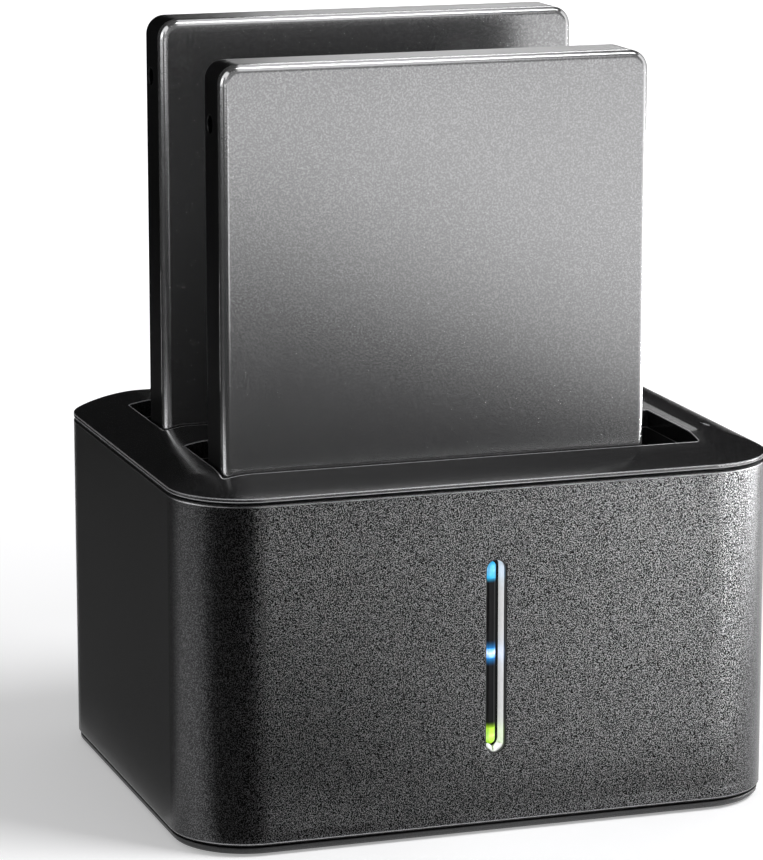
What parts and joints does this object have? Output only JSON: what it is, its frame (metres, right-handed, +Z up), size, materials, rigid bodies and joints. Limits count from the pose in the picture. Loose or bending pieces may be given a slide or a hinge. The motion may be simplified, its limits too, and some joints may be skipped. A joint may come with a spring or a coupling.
{
  "type": "hard drive docking station",
  "caption": "Desktop dock with a crowned cover, deep upright bays for 2.5-inch drives, a vertical light slot in front, and ports and buttons behind.",
  "frame": {"origin": "middle of the footprint, on the surface it stands on", "axes": "+Z up, -Y towards the front with the light slot, +X to the right seen from the front"},
  "size_m": [0.1, 0.082, 0.1266],
  "materials": {
    "cover_grey": "satin, moulded",
    "shell_grey": "fine metallic grain, satin",
    "base_grey": "satin, moulded",
    "guide_black": "fine matt",
    "rubber_black": "matt",
    "screw_steel": "satin",
    "board_green": "solder mask over copper tracks",
    "chip_black": "fine matt",
    "can_aluminium": "satin",
    "inductor_grey": "pressed powder",
    "crystal_steel": "satin",
    "resistor_dark": "glazed",
    "connector_black": "satin",
    "contact_gold": "plated",
    "port_steel": "satin",
    "port_white": "satin",
    "jack_black": "satin",
    "bezel_silver": "polished",
    "mask_black": "matt",
    "strip_black": "smoked",
    "lens_cyan": "lit",
    "lens_blue": "lit",
    "lens_green": "lit",
    "led_white": "moulded",
    "button_grey": "satin",
    "switch_black": "satin",
    "plunger_red": "satin",
    "drive_case_metal": "cast, satin",
    "drive_lid_metal": "satin with bright bevels"
  },
  "bodies": {
    "dock": {"body_shell": "shell_grey", "top_cover": "cover_grey", "bay_guide": "guide_black", "guide_screws": "screw_steel", "base_plate": "base_grey", "base_screws": "screw_steel", "rubber_feet": "rubber_black", "main_board": "board_green", "board_screws": "screw_steel", "bridge_chips": "chip_black", "flash_chip": "chip_black", "clock_crystal": "crystal_steel", "power_inductors": "inductor_grey", "board_capacitors": "can_aluminium", "board_resistors": "resistor_dark", "dc_jack": "jack_black", "dc_jack_pin": "contact_gold", "usb_shell": "port_steel", "usb_core": "port_white", "front_drive_socket": "connector_black", "rear_drive_socket": "connector_black", "front_socket_contacts": "contact_gold", "rear_socket_contacts": "contact_gold", "light_bezel": "bezel_silver", "light_mask": "mask_black", "light_guide": "strip_black", "light_lens_lower": "lens_green", "light_lens_middle": "lens_blue", "light_lens_upper": "lens_cyan", "status_leds": "led_white", "led_board": "board_green", "led_header": "connector_black", "led_header_pins": "contact_gold", "power_switch": "switch_black", "clone_switch": "switch_black"},
    "power_button": {"power_button": "button_grey", "power_plunger": "plunger_red"},
    "clone_button": {"clone_button": "button_grey", "clone_plunger": "plunger_red"},
    "front_drive": {"front_drive_case": "drive_case_metal", "front_drive_lid": "drive_lid_metal", "front_drive_screws": "screw_steel", "front_drive_plug": "connector_black", "front_drive_contacts": "contact_gold", "front_drive_board": "board_green", "front_drive_chips": "chip_black"},
    "rear_drive": {"rear_drive_case": "drive_case_metal", "rear_drive_lid": "drive_lid_metal", "rear_drive_screws": "screw_steel", "rear_drive_plug": "connector_black", "rear_drive_contacts": "contact_gold", "rear_drive_board": "board_green", "rear_drive_chips": "chip_black"}
  },
  "joints": [
    {"name": "front_drive_lift", "type": "slide", "parent": "dock", "child": "front_drive", "axis": [0, 0, 1], "range_m": [0, 0.04]},
    {"name": "rear_drive_lift", "type": "slide", "parent": "dock", "child": "rear_drive", "axis": [0, 0, 1], "range_m": [0, 0.04]},
    {"name": "power_button_press", "type": "slide", "parent": "dock", "child": "power_button", "axis": [0, -1, 0], "range_m": [0, 0.0012], "stiffness_N_per_m": 500, "springref_m": -0.002},
    {"name": "clone_button_press", "type": "slide", "parent": "dock", "child": "clone_button", "axis": [0, -1, 0], "range_m": [0, 0.0012], "stiffness_N_per_m": 500, "springref_m": -0.002}
  ]
}
